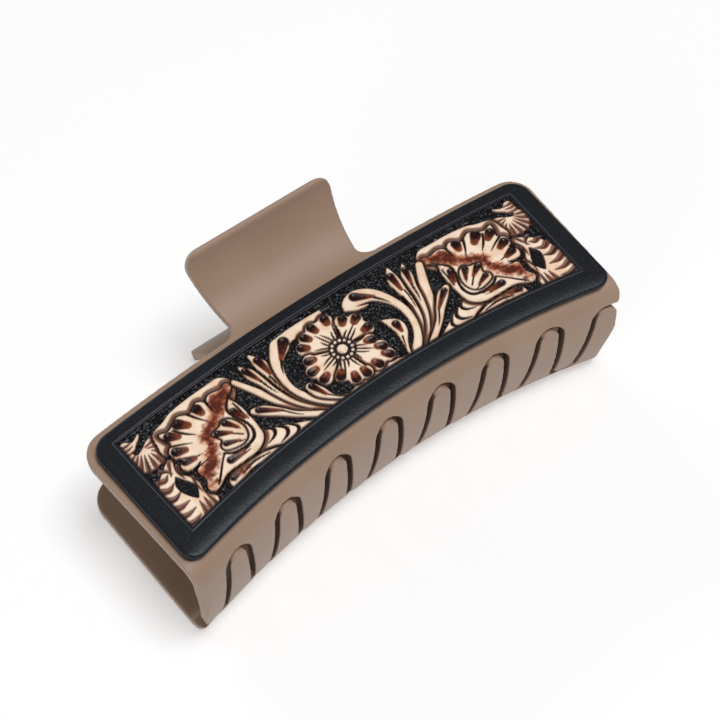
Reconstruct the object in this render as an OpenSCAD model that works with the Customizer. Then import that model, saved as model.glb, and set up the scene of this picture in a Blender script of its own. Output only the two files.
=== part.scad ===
// Leather claw clip: two sprung plastic jaws with a tooled leather cover on the upper one.
// Millimetres. X runs along the hinge, +Y points to the thumb tabs and Z is up. The clip lies closed
// on a table at z = 0, on the front corners of its lower jaw and the tip of its lower thumb tab.
// Each jaw is drawn in its own plate frame: z = 0 is the outer face of its plate, and y = 0 is the
// middle of the leather at its ends.

/* [Leather cover] */
// length of the leather along the hinge at the middle of its width
leather_length = 100; // [60:0.5:150]
// width of the leather at its two ends
leather_width = 30.7; // [15:0.1:50]
// thickness of the leather
leather_thickness = 1.9; // [1:0.1:3]
// how far the leather's toothed side curves in at the middle of its length
front_sag = 6.35; // [0:0.05:12]
// how far the leather's tab side bulges out at the middle of its length
back_sag = 2.85; // [0:0.05:8]
// how much each end leans outwards, for each millimetre towards the tabs
end_flare = 0.058; // [0:0.002:0.15]
// corner radius of the leather on the tab side
leather_corner = 4; // [1:0.5:8]
// corner radius of the leather on the toothed side
leather_front_corner = 3; // [1:0.5:8]
// angle round the plate's rolled edge at which the leather stops
leather_wrap = 24; // [5:1:45]
// depth of the tooled ground below the leather's face
tooling_depth = 0.45; // [0.1:0.05:1]
// width of the plain black border along the toothed side
border_front = 4.9; // [2:0.1:10]
// width of the plain black border along the tab side
border_back = 2.9; // [1:0.1:10]
// width of the plain black border at each end
border_end = 4.3; // [2:0.1:10]
// radius of the rosette in the middle of the tooled panel
rosette_radius = 8.6; // [5:0.1:9]
// radius of each half flower beside it
fan_radius = 11.4; // [6:0.1:12]

/* [Jaws] */
// thickness of a jaw's plate, wall and tab
wall = 2.3; // [1.5:0.1:4]
// plate beyond the leather at each end
end_margin = 1.3; // [0:0.1:4]
// how much each end of the plate leans outwards, for each millimetre towards the tabs
plate_flare = 0.076; // [0:0.002:0.15]
// plate beyond the leather on the tab side
back_margin = 2; // [0:0.1:5]
// corner radius of the plate on the tab side
plate_corner = 5; // [2:0.5:8]
// corner radius of the plate and wall on the toothed side
front_corner = 2; // [1:0.5:6]
// angle between a plate and the clip's middle plane
wing_angle = 5.7; // [0:0.1:12]
// depth of the middle plane under the plate's outer face, at y = 0
mid_depth = 12.75; // [8:0.05:25]
// how far the toothed wall stands out beyond the leather's edge
wall_out = 2.5; // [0:0.1:5]
// radius of the wall's bulge, seen from the end
bulge_radius = 60; // [30:1:200]
// radius of the rolled edge between plate and wall
roll_radius = 5; // [3:0.25:8]

/* [Teeth] */
// teeth on each jaw
teeth = 8; // [4:1:12]
// distance from one tooth to the next on the same jaw
tooth_pitch = 12.43; // [8:0.01:20]
// reach of a tooth past the middle plane
tooth_reach = 10; // [4:0.25:14]
// clearance between a tooth and the slot that it closes into
tooth_gap = 1.1; // [0.5:0.05:2]
// taper of each side of a tooth in degrees
tooth_taper = 3.5; // [0:0.25:8]
// extra width on the outer side of the end tooth
end_tooth_extra = 0.4; // [0:0.1:1.5]

/* [Thumb tabs] */
// width of a tab where it leaves the plate
tab_root_width = 29.5; // [15:0.5:60]
// width of a tab across its tip
tab_tip_width = 34.4; // [15:0.5:60]
// radius of the tab's hollow thumb side
tab_radius = 13.7; // [8:0.1:30]
// angle that the tab turns through from the plate to its tip
tab_turn = 75; // [20:1:90]
// corner radius of the tab's tip
tab_corner = 3; // [1:0.5:6]
// radius of the fillet beside the tab's root
root_fillet = 3.5; // [0.5:0.25:5]

/* [Hinge] */
// distance of the hinge from the middle of the leather, towards the tabs
hinge_y = 13.5; // [5:0.25:18]
// diameter of the pin
pin_diameter = 2; // [1:0.1:3]
// clearance round the pin in each lug
pin_clearance = 0.05; // [0.02:0.01:0.1]
// thickness of a hinge lug
lug_thickness = 3; // [2:0.25:5]
// radius of a lug round the pin
lug_radius = 3.4; // [2.5:0.1:5]
// inner face of the lug on the right of the spring
lug_inner = 6.8; // [5:0.1:12]
// sideways gap between neighbouring lugs
lug_gap = 0.4; // [0.3:0.05:1]
// diameter of the pin's two riveted heads
head_diameter = 3.4; // [2.2:0.1:5]
// thickness of a riveted head
head_thickness = 0.8; // [0.4:0.1:2]
// opening of the clip for looking at it, 0 is closed
open_angle = 0; // [0:1:50]

/* [Spring] */
// diameter of the spring wire
wire_diameter = 1.1; // [0.6:0.05:1.6]
// radius of the coil at the middle of the wire
coil_radius = 2.9; // [2:0.1:4]
// whole turns of the coil
coil_turns = 6; // [3:1:8]
// distance from one turn to the next
coil_pitch = 1.3; // [0.8:0.05:2]
// length of each straight leg
leg_length = 20; // [10:0.5:25]

/* [Hidden] */
$fa = 4;
$fs = 0.4;

mocha = [0.63, 0.53, 0.45];
black_leather = [0.14, 0.15, 0.17];
steel = [0.75, 0.75, 0.77];

// Plan arcs of the plate frame. Both centres lie on x = 0, on the toothed side.
half = leather_length / 2;
front_radius = (half * half + front_sag * front_sag) / (2 * front_sag);
front_axis = -leather_width / 2 + front_sag - front_radius;
back_radius = (half * half + back_sag * back_sag) / (2 * back_sag);
back_axis = leather_width / 2 + back_sag - back_radius;

function unit(v) = v / norm(v);

// Section of the jaw in (distance from front_axis, z).
tilt = tan(wing_angle);
mid_z = -mid_depth + tilt * (-leather_width / 2 + 1.8);
wall_r = front_radius - wall_out;
bulge_c = [wall_r + bulge_radius * cos(wing_angle), mid_z + bulge_radius * sin(wing_angle)];
turn = asin((-roll_radius - bulge_c[1]) / (bulge_radius - roll_radius));
roll_c = [bulge_c[0] - (bulge_radius - roll_radius) * cos(turn), -roll_radius];

// The leather lies this far above the plate, and its toothed side ends at this radius in plan.
leather_gap = 0.05;
leather_front = roll_c[0] - (roll_radius + leather_gap + leather_thickness) * sin(leather_wrap);

// A rounded corner lies this far inside the edges that it joins.
corner_step = 0.02;

// Hinge below the plate's outer face, and the tab's axis.
hinge_drop = mid_depth - tilt * hinge_y;
tab_y = leather_width / 2 + back_sag + back_margin - 0.7;

// Teeth in the middle plane: half width, tip radius and the height of the tip's centre.
tooth_half = (tooth_pitch / 2 - tooth_gap / cos(tooth_taper)) / 2;
tip_radius = (tooth_half * cos(tooth_taper) - tooth_reach * sin(tooth_taper)) / (1 - sin(tooth_taper));
tip_z = tip_radius - tooth_reach;
function tooth_x(k) = tooth_pitch * (k - (teeth - 1) / 2 + 0.25);
function half_at(z) = tooth_half + z * tan(tooth_taper);

// Where the closed clip lies on the table.
rest_tilt = 7.39;
rest_height = 17.2515;
rest_y = 2.93;

// A child drawn in the plate frame is moved to the hinge frame, whose origin is the pin.
module to_hinge()
    rotate([-wing_angle, 0, 0]) translate([0, -hinge_y, hinge_drop]) children();

module lying(opened = 0)
    translate([0, rest_y, rest_height]) rotate([rest_tilt - opened, 0, 0]) children();

// Solid of revolution round the axis of the front arc, in the plate frame.
module swept()
    translate([0, front_axis, 0]) rotate([0, 0, 72]) rotate_extrude(angle = 36, $fa = 1) children();

// Outer face of the jaw's section moved inwards by inset: plate, rolled edge and bulging wall.
module section(inset) {
    start = [bulge_c[0] - (bulge_radius - inset) * cos(turn), bulge_c[1] + (bulge_radius - inset) * sin(turn)];
    difference() {
        intersection() {
            translate(bulge_c) circle(r = bulge_radius - inset, $fa = 1);
            translate([wall_r - 10, -60]) square([90, 60 - inset]);
        }
        polygon([roll_c, start, [start[0] - 8, 8], [roll_c[0], 8]]);
    }
    translate(roll_c) circle(r = roll_radius - inset, $fa = 3);
}

module shell_section() {
    difference() {
        section(0);
        section(wall);
    }
}

// Plan outline with concave front, bulging back, leaning ends and rounded corners.
module plan(margin, flare, back, front, corner, corner_front) {
    end = half + margin;
    lean = sqrt(1 + flare * flare);
    rb = back_radius + back;
    // corner centre on the tab side: corner inside the end line and inside the back arc
    a = 1 + flare * flare;
    e = end - corner * lean;
    b = flare * e - back_axis;
    c = e * e + back_axis * back_axis - (rb - corner) * (rb - corner);
    cy = (-b + sqrt(b * b - a * c)) / a;
    cx = e + flare * cy;
    // corner centre on the toothed side: corner inside the end line and outside the front arc
    ef = end - corner_front * lean;
    bf = flare * ef - front_axis;
    cf = ef * ef + front_axis * front_axis - (front + corner_front) * (front + corner_front);
    fy = (-bf + sqrt(bf * bf - a * cf)) / a;
    fx = ef + flare * fy;
    difference() {
        intersection() {
            translate([0, back_axis]) circle(r = rb, $fa = 1);
            polygon([[-end + 60 * flare, -60], [end - 60 * flare, -60],
                     [end + 40 * flare, 40], [-end - 40 * flare, 40]]);
        }
        translate([0, front_axis]) circle(r = front, $fa = 1);
        for (m = [0, 1]) mirror([m, 0]) {
            corner_cut([cx, cy], [1, -flare] / lean, unit([cx, cy - back_axis]), corner);
            corner_cut([fx, fy], [1, -flare] / lean, -unit([fx, fy - front_axis]), corner_front);
        }
    }
}

// What rounding takes off a corner: c is its centre, and n1 and n2 point square to the two edges.
module corner_cut(c, n1, n2, r)
    difference() {
        polygon([c, c + (r + 6) * n1, c + (r + 12) * (n1 + n2), c + (r + 6) * n2]);
        translate(c) circle(r = r - corner_step, $fa = 3);
    }

module plate_plan()
    plan(end_margin, plate_flare, back_margin, front_radius - wall_out - 0.3, plate_corner, front_corner);

// Points on an arc of n steps.
function arc(c, r, from, to, n) = [for (i = [0 : n]) let (a = from + (to - from) * i / n) c + r * [cos(a), sin(a)]];

// Everything that the teeth of one jaw leave free, seen from the front in the hinge frame: tooth tips
// and slot arches follow each other from left to right. The last slot is open to the side.
module free_outline() {
    first = -tooth_x(teeth - 1);
    last = tooth_x(teeth - 1);
    t = tooth_taper;
    arch = tip_radius + tooth_gap;
    outer = first - half_at(9) - end_tooth_extra;
    left_end = [[-80, -40], [-80, 9], [outer, 9]];
    row = [for (i = [0 : teeth - 1])
        let (x = first + i * tooth_pitch, extra = i == 0 ? end_tooth_extra : 0, s = x + tooth_pitch / 2)
        concat(arc([x - extra, tip_z], tip_radius, 180 + t, 270, 6), arc([x, tip_z], tip_radius, 276, 360 - t, 6),
               i < teeth - 1 ? arc([s, -tip_z], arch, 180 - t, t, 12) : arc([s, -tip_z], arch, 180 - t, 90, 6))];
    polygon(concat(left_end, [for (part = row) each part], [[80, tooth_reach + tooth_gap], [80, -40]]));
}

module toothed_wall()
    difference() {
        intersection() {
            to_hinge() swept() intersection() {
                shell_section();
                polygon([[150, 5], [roll_c[0], 5], [roll_c[0], -roll_radius], [roll_c[0] + 12, -roll_radius],
                         [roll_c[0] + 12, -60], [150, -60]]);
            }
            to_hinge() translate([0, 0, -45]) linear_extrude(60)
                plate_plan();
        }
        translate([0, 30, 0]) rotate([90, 0, 0]) linear_extrude(90) free_outline();
    }

module plate()
    to_hinge() intersection() {
        translate([0, 0, -wall]) linear_extrude(wall)
            plate_plan();
        translate([0, front_axis, 0]) difference() {
            translate([0, 0, -10]) cylinder(r = 300, h = 20, $fa = 1);
            translate([0, 0, -11]) cylinder(r = roll_c[0], h = 22, $fa = 1);
        }
    }

// Hollow thumb tab: a sector of a tube along X, tangent to the plate, with a round tip.
module tab() {
    mean = tab_radius + wall / 2;
    to_hinge() intersection() {
        translate([0, tab_y, tab_radius]) {
            rotate([0, 90, 0]) translate([0, 0, -30]) rotate([0, 0, -2])
                rotate_extrude(angle = tab_turn + 2, $fa = 2) translate([tab_radius, 0]) square([wall, 60]);
            rotate([tab_turn, 0, 0]) translate([-30, 0, -mean]) rotate([0, 90, 0]) cylinder(d = wall, h = 60);
        }
        translate([0, tab_y, 0]) rotate([tab_turn / 2, 0, 0]) translate([0, 0, -20]) linear_extrude(40) tab_plan();
    }
    // the fillets lie a hair under the plate's face, which stays flat up to its own edge
    to_hinge() translate([0, 0, -wall]) linear_extrude(wall - 0.1) root_plan();
}

// Outline of the tab seen square to its mean slope.
module tab_plan() {
    reach = 2 * tab_radius * sin(tab_turn / 2) + 1.35;
    slope = (tab_tip_width - tab_root_width) / 2 / reach;
    lean = atan(slope);
    cx = tab_tip_width / 2 - tab_corner / cos(lean) - slope * tab_corner;
    cy = reach - tab_corner;
    right = concat([[tab_root_width / 2 - 8 * slope, -8]], arc([cx, cy], tab_corner, -lean, 90, 6));
    polygon(concat(right, [for (i = [len(right) - 1 : -1 : 0]) [-right[i][0], right[i][1]]]));
}

// Fillets in the corners between the tab and the plate's edge.
module root_plan() {
    y = sqrt((back_radius + back_margin) * (back_radius + back_margin) - tab_root_width * tab_root_width / 4) + back_axis;
    for (s = [-1, 1]) difference() {
        translate([s * (tab_root_width / 2 + root_fillet / 2 - 0.25), y + root_fillet / 2 - 0.75])
            square([root_fillet + 0.5, root_fillet + 1.5], center = true);
        translate([s * (tab_root_width / 2 + root_fillet), y + root_fillet - 0.1]) circle(r = root_fillet, $fa = 5);
    }
}

// Lug round the pin, with its web up into the plate.
module lug(x)
    difference() {
        translate([x, 0, 0]) rotate([90, 0, 90]) linear_extrude(lug_thickness) {
            circle(r = lug_radius);
            polygon([[-lug_radius, 0], [lug_radius, 0], [lug_radius + 1, hinge_drop - wall + 0.5],
                     [-lug_radius - 1, hinge_drop - wall + 0.8]]);
        }
        translate([x - 1, 0, 0]) rotate([0, 90, 0])
            cylinder(d = pin_diameter + 2 * pin_clearance, h = lug_thickness + 2);
    }

module jaw() {
    toothed_wall();
    plate();
    tab();
    lug(lug_inner);
    lug(-lug_inner - 2 * lug_thickness - lug_gap);
}

module upper_jaw() color(mocha) lying(open_angle) jaw();

module lower_jaw() color(mocha) lying() rotate([0, 180, 0]) jaw();

// Leather over the plate: flat, then bent a little over the rolled edge.
module leather_blank()
    intersection() {
        swept() difference() {
            section(-leather_thickness - leather_gap);
            section(-leather_gap);
            polygon([roll_c, [roll_c[0] - 20 * sin(leather_wrap), roll_c[1] + 20 * cos(leather_wrap)],
                     [roll_c[0] - 40, 20], [roll_c[0] - 40, -70], [roll_c[0] + 60, -70], [roll_c[0] + 60, -3], roll_c]);
        }
        translate([0, 0, -10]) linear_extrude(20)
            plan(0, end_flare, 0, leather_front - 0.05, leather_corner, leather_front_corner);
    }

// The tooled panel. Its forms keep the face of the leather and the ground between them is beaten down.
panel_front = leather_front + border_front;
mirror_x = -0.4;
rosette_c = [-2.1, 4.1];
fan_c = [-29, 0];
// Leaves and stems left of the rosette: root, bend, tip, width at the root, width at the tip.
leaves = [
    [[-7, -4.9], [-21, 0], [-11.5, 11.8], 1.4, 4],
    [[-9, -4.8], [-18, -1], [-16.6, 12.4], 1, 2.2],
    [[-10, -5], [-18, -2], [-19.2, 11], 1, 2.4],
    [[-11, -5.2], [-17, -1], [-24, 11.5], 1.6, 1.8],
    [[-14, -5.4], [-18, -2], [-22.6, 2.8], 1, 2.4],
    [[-8.5, -4.6], [-10, -2], [-11.6, 0.8], 0.8, 2.4],
    [[-17, -6.2], [-25, -1.5], [-24.6, 8.5], 3, 2],
    [[-19, -6.2], [-26, -3], [-33.2, -6.3], 1, 2.8],
    [[-40, -9.4], [-46, -3], [-41.5, 3.5], 6, 1.4],
    [[-46, 6.5], [-43, 9], [-39.5, 8.2], 4.5, 3]];

// Point at share t of a curve from a to c that bends towards b.
function bent(a, b, c, t) = (1 - t) * (1 - t) * a + 2 * t * (1 - t) * b + t * t * c;
function along(a, b, c, t) = unit(2 * (1 - t) * (b - a) + 2 * t * (c - b));

// A band along that curve, w0 wide at its root and w1 at its round tip.
module leaf(a, b, c, w0, w1) {
    n = 6;
    side = [for (i = [0 : n]) let (t = i / n, d = along(a, b, c, t)) [bent(a, b, c, t), [-d[1], d[0]], (w0 + (w1 - w0) * t) / 2]];
    tip = atan2(along(a, b, c, 1)[1], along(a, b, c, 1)[0]);
    polygon(concat([for (i = [0 : n - 1]) side[i][0] - side[i][2] * side[i][1]],
                   arc(c, w1 / 2, tip - 90, tip + 90, 6),
                   [for (i = [n - 1 : -1 : 0]) side[i][0] + side[i][2] * side[i][1]]));
}

// Outline with round lobes between two angles; a half flower narrows to its foot.
function lobed(c, r, from, to, lobes) =
    [for (i = [0 : 6 * lobes]) let (a = from + (to - from) * i / (6 * lobes))
        c + r * (0.93 + 0.07 * abs(sin(30 * i))) * [cos(a), sin(a)]];

module panel_plan() plan(-border_end, end_flare, -border_back, panel_front, 0.6, 0.6);

module forms() {
    polygon(lobed(rosette_c, rosette_radius, 10, 352, 17));
    for (side = [0, 1]) translate([side * 2 * mirror_x, 0]) mirror([side, 0]) {
        polygon(concat(lobed(fan_c, fan_radius, 58, 213, 8), [fan_c + [4, -3]]));
        for (l = leaves) leaf(l[0], l[1], l[2], l[3], l[4]);
    }
}

module leather_cover() color(black_leather) lying(open_angle) to_hinge() {
    face = leather_thickness + leather_gap;
    difference() {
        leather_blank();
        translate([0, 0, face - tooling_depth]) linear_extrude(tooling_depth + 1) panel_plan();
    }
    translate([0, 0, face - tooling_depth - 0.3]) linear_extrude(tooling_depth + 0.25) forms();
}

module hinge_pin() color(steel) lying() {
    reach = lug_inner + 2 * lug_thickness + lug_gap + 0.3;
    rotate([0, 90, 0]) translate([0, 0, -reach - 0.1]) cylinder(d = pin_diameter, h = 2 * reach + 0.2);
    for (s = [-1, 1]) translate([s * (reach + head_thickness / 2), 0, 0])
        rotate([0, 90, 0]) cylinder(d = head_diameter, h = head_thickness, center = true);
}

// Torsion spring: a leg under the upper tab, the coil round the pin, and a leg over the lower tab.
tab_c = [(tab_y - hinge_y) * cos(wing_angle) + (tab_radius + hinge_drop) * sin(wing_angle),
         -(tab_y - hinge_y) * sin(wing_angle) + (tab_radius + hinge_drop) * cos(wing_angle)];
leg_offset = coil_radius + tab_radius + wall + wire_diameter / 2 + 0.12;
leg_rise = acos(leg_offset / norm(tab_c)) - atan2(tab_c[0], tab_c[1]);
steps = 14;
// Each leg leaves the coil on a tangent, one at leg_rise above the middle plane and the other, its half turn
// about Y, below it; so the coil turns on by half a turn less twice leg_rise.
coil_sweep = 360 * coil_turns + 180 - 2 * leg_rise;
coil_half = coil_sweep / 360 * coil_pitch / 2;
coil_count = ceil(coil_sweep / 360 * steps);
wire_path = concat(
    [[-coil_half, leg_length * cos(leg_rise) - coil_radius * sin(leg_rise),
      leg_length * sin(leg_rise) + coil_radius * cos(leg_rise)]],
    [for (i = [0 : coil_count])
        let (a = 90 + leg_rise + coil_sweep * i / coil_count)
        [-coil_half + 2 * coil_half * i / coil_count, coil_radius * cos(a), coil_radius * sin(a)]],
    [[coil_half, leg_length * cos(leg_rise) - coil_radius * sin(leg_rise),
      -leg_length * sin(leg_rise) - coil_radius * cos(leg_rise)]]);

module wire(path, d, sides) {
    n = len(path);
    rings = [for (i = [0 : n - 1])
        let (t = unit(path[min(i + 1, n - 1)] - path[max(i - 1, 0)]),
             u = unit([1, 0, 0] - t[0] * t), v = cross(t, u))
        for (j = [0 : sides - 1])
            path[i] + d / 2 * (cos(360 * j / sides) * u + sin(360 * j / sides) * v)];
    faces = concat(
        [for (i = [0 : n - 2], j = [0 : sides - 1])
            [i * sides + j, i * sides + (j + 1) % sides, (i + 1) * sides + (j + 1) % sides, (i + 1) * sides + j]],
        [[for (j = [sides - 1 : -1 : 0]) j]], [[for (j = [0 : sides - 1]) (n - 1) * sides + j]]);
    polyhedron(rings, faces);
}

module spring() color(steel) lying() wire(wire_path, wire_diameter, 8);

upper_jaw();
lower_jaw();
leather_cover();
hinge_pin();
spring();
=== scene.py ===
"""Looks of the leather claw clip: soft-touch plastic jaws, a tooled leather cover, steel pin and spring."""
import math

import bpy
import numpy as np
from mathutils import Matrix, Vector


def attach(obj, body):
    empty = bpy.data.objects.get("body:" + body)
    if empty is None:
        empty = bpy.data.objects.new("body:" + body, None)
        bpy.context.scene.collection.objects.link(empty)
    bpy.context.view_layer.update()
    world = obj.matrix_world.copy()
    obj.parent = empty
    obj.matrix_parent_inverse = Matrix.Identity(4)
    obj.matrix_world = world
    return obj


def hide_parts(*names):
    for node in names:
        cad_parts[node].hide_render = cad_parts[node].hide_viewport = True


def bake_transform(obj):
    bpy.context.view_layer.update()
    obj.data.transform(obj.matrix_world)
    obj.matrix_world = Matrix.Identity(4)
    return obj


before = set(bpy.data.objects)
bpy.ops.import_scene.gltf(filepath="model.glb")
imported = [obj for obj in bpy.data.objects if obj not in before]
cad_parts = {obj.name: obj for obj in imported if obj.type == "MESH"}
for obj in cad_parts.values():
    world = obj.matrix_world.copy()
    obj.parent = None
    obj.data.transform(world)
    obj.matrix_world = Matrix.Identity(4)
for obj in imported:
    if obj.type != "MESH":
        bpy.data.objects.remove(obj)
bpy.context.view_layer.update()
MM = 0.001


# ---- places
# Sizes of the jaw and its leather, as in the part's source: millimetres and radians. In the plate's frame
# z = 0 is the plate's outer face, and y = 0 is the middle of the leather's ends.
HALF = 50.0  # half the leather's length
LEATHER_WIDTH = 30.7
THICK = 1.9
GAP = 0.05  # glue between plate and leather
FRONT_SAG, BACK_SAG = 6.35, 2.85
FLARE = 0.058  # how much the leather's ends lean outwards
ROLL = 5.0  # radius of the rolled edge between plate and toothed wall
WRAP = math.radians(24)  # how far round that edge the leather reaches
BULGE, WALL_OUT = 60.0, 2.5  # radius of the wall's bulge, and how far it stands out beyond the leather
BULGE_BACK = 1.8  # how far behind the leather's front corners the bulge is widest
MID_DEPTH = 12.75  # depth of the clip's middle plane at y = 0
WING, REST_TILT = math.radians(5.7), math.radians(7.39)
HINGE_Y = 13.5
HINGE_DROP = MID_DEPTH - math.tan(WING) * HINGE_Y
REST_Y, REST_Z = 2.93, 17.2515

FRONT_R = (HALF ** 2 + FRONT_SAG ** 2) / (2 * FRONT_SAG)
FRONT_AXIS = -LEATHER_WIDTH / 2 + FRONT_SAG - FRONT_R
BACK_R = (HALF ** 2 + BACK_SAG ** 2) / (2 * BACK_SAG)
BACK_AXIS = LEATHER_WIDTH / 2 + BACK_SAG - BACK_R


def roll_start():
    """Distance from the front arc's axis at which the plate starts to roll over into the wall."""
    mid_z = -MID_DEPTH + math.tan(WING) * (-LEATHER_WIDTH / 2 + BULGE_BACK)
    cx = FRONT_R - WALL_OUT + BULGE * math.cos(WING)
    cz = mid_z + BULGE * math.sin(WING)
    turn = math.asin((-ROLL - cz) / (BULGE - ROLL))
    return cx - (BULGE - ROLL) * math.cos(turn)


ROLL_R = roll_start()


def turned(points, angle):
    """Points turned about the x axis."""
    c, s = math.cos(angle), math.sin(angle)
    x, y, z = points.T
    return np.stack([x, c * y - s * z, s * y + c * z], 1)


def plate_to_object(points):
    """Points of the plate's frame in millimetres, moved to the shared frame in metres."""
    p = turned(points + np.array([0, -HINGE_Y, HINGE_DROP]), -WING)
    p = turned(p, REST_TILT) + np.array([0, REST_Y, REST_Z])
    return p * MM


# ---- small helpers
def placed(name, data):
    """A new object in the scene."""
    o = bpy.data.objects.new(name, data)
    bpy.context.scene.collection.objects.link(o)
    return o


def pick(o):
    """Only this object selected, and active."""
    bpy.ops.object.select_all(action="DESELECT")
    o.select_set(True)
    bpy.context.view_layer.objects.active = o


def on_points(o, what):
    """Each point's vector: its place, co, or its normal."""
    values = np.zeros(len(o.data.vertices) * 3)
    o.data.vertices.foreach_get(what, values)
    return values.reshape(-1, 3)


def paint(o, name, values):
    """A number on each point, for a material to read."""
    a = o.data.attributes.new(name, "FLOAT", "POINT")
    a.data.foreach_set("value", values.astype(np.float32))


def mend(o, merge=False, outwards=False):
    """The whole mesh's doubled points merged, or its faces turned outwards, or both."""
    pick(o)
    bpy.ops.object.mode_set(mode="EDIT")
    bpy.ops.mesh.select_all(action="SELECT")
    if merge:
        bpy.ops.mesh.remove_doubles(threshold=1e-6)
    if outwards:
        bpy.ops.mesh.normals_make_consistent(inside=False)
    bpy.ops.object.mode_set(mode="OBJECT")


def finish_with(o, kind, **settings):
    """A modifier, set and applied."""
    pick(o)
    m = o.modifiers.new(kind.lower(), kind)
    for k, v in settings.items():
        setattr(m, k, v)
    bpy.ops.object.modifier_apply(modifier=m.name)


def linear(c):
    """Screen values from 0 to 255, made linear."""
    c = np.asarray(c, float)
    return np.where(c <= 10, c / 255 / 12.92, ((np.clip(c, 0, 255) / 255 + 0.055) / 1.055) ** 2.4)


def colour(r, g, b):
    """A colour as it is picked on a screen, for a shader's socket."""
    return (*linear([r, g, b]).tolist(), 1.0)


# ---- finishes
class Finish:
    """A material while its nodes are laid and joined."""

    def __init__(self, name):
        self.material = bpy.data.materials.new(name)
        self.material.use_nodes = True
        self.nodes, self.link = self.material.node_tree.nodes, self.material.node_tree.links.new
        self.shader = self.nodes["Principled BSDF"]

    def add(self, kind, **joined):
        """A new node, with outputs of others joined to its named inputs."""
        node = self.nodes.new(kind)
        for name, output in joined.items():
            self.link(output, node.inputs[name])
        return node

    def join(self, output, socket):
        self.link(output, self.shader.inputs[socket])

    def set(self, **sockets):
        """The shader's own sockets; an underscore stands for a space."""
        for name, value in sockets.items():
            self.shader.inputs[name.replace("_", " ")].default_value = value

    def pattern(self, kind, scale):
        """A texture on the piece's own coordinates."""
        node = self.add(kind, Vector=self.add("ShaderNodeTexCoord").outputs["Object"])
        node.inputs["Scale"].default_value = scale
        return node

    def noise(self, scale, detail):
        node = self.pattern("ShaderNodeTexNoise", scale)
        node.inputs["Detail"].default_value = detail
        return node.outputs["Fac"]

    def painted(self, name):
        """What is painted on the mesh's points."""
        node = self.add("ShaderNodeAttribute")
        node.attribute_name = name
        return node.outputs

    def ramp(self, fac, *stops):
        """A change between colours, each given with its position."""
        node = self.add("ShaderNodeValToRGB", Fac=fac)
        for element, (position, shade) in zip(node.color_ramp.elements, stops):
            element.position, element.color = position, shade
        return node.outputs["Color"]

    def spread(self, fac, low, high):
        """A value from 0 to 1, spread from low to high."""
        node = self.add("ShaderNodeMapRange", Value=fac)
        node.inputs["To Min"].default_value, node.inputs["To Max"].default_value = low, high
        return node.outputs["Result"]

    def math(self, operation, one, other):
        """Two outputs, or an output and a number, added or multiplied."""
        node = self.add("ShaderNodeMath")
        node.operation = operation
        self.link(one, node.inputs[0])
        if isinstance(other, float):
            node.inputs[1].default_value = other
        else:
            self.link(other, node.inputs[1])
        return node.outputs["Value"]

    def over(self, share, under, top):
        """A plain colour laid over another by its share."""
        node = self.add("ShaderNodeMix")
        node.data_type = "RGBA"
        # 6 and 7 are its two colours, and 2 is the mixed one
        node.inputs[7].default_value = top
        self.link(share, node.inputs[0])
        self.link(under, node.inputs[6])
        return node.outputs[2]

    def bump(self, height, strength, distance):
        node = self.add("ShaderNodeBump", Height=height)
        node.inputs["Strength"].default_value = strength
        node.inputs["Distance"].default_value = distance
        self.join(node.outputs["Normal"], "Normal")

    def give(self, o):
        o.data.materials.clear()
        o.data.materials.append(self.material)


def soft_touch_plastic():
    f = Finish("soft touch mocha plastic")
    cloudy = f.noise(60, 3)
    mocha = f.ramp(cloudy, (0.35, colour(153, 126, 107)), (0.65, colour(159, 132, 112)))
    # the slots between the teeth are painted dark brown over the mocha: painted shade
    f.join(f.over(f.painted("slot_shade")["Fac"], mocha, colour(84, 58, 42)), "Base Color")
    f.join(f.spread(cloudy, 0.46, 0.56), "Roughness")
    f.bump(f.noise(2600, 2), strength=0.12, distance=0.06 * MM)
    f.set(Specular_IOR_Level=0.42, Sheen_Weight=0.06, Sheen_Roughness=0.6)
    return f


def drawn_steel():
    f = Finish("drawn steel wire")
    streaks = f.noise(900, 4)
    f.join(f.spread(streaks, 0.2, 0.38), "Roughness")
    f.join(f.ramp(streaks, (0, colour(176, 176, 180)), (1, colour(206, 206, 210))), "Base Color")
    f.set(Metallic=1)
    return f


def tooled_leather():
    """Dyed leather: its dye, with painted shade and glints among it, gloss and plain border are painted on
    the cover's points.
    """
    f = Finish("tooled and dyed leather")
    specks = f.noise(3000, 3)
    pale_specks = f.ramp(specks, (0.58, (0, 0, 0, 1)), (0.70, (1, 1, 1, 1)))
    on_border = f.math("MULTIPLY", pale_specks, f.painted("border")["Fac"])
    share = f.math("MULTIPLY", on_border, 0.30)
    f.join(f.over(share, f.painted("dye")["Color"], colour(80, 82, 86)), "Base Color")
    uneven = f.spread(f.noise(420, 3), -0.06, 0.08)
    f.join(f.math("ADD", f.painted("gloss")["Fac"], uneven), "Roughness")
    # pores and fine creases
    pores = f.pattern("ShaderNodeTexVoronoi", 2000).outputs["Distance"]
    f.bump(f.math("ADD", pores, specks), strength=0.22, distance=0.09 * MM)
    f.set(Specular_IOR_Level=0.2, Specular_Tint=(0.86, 0.94, 1, 1))
    return f


plastic, wire_steel, leather = soft_touch_plastic(), drawn_steel(), tooled_leather()


# ---- tooling
def screen_rgb(r, g, b):
    return np.array([r, g, b], float)
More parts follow.
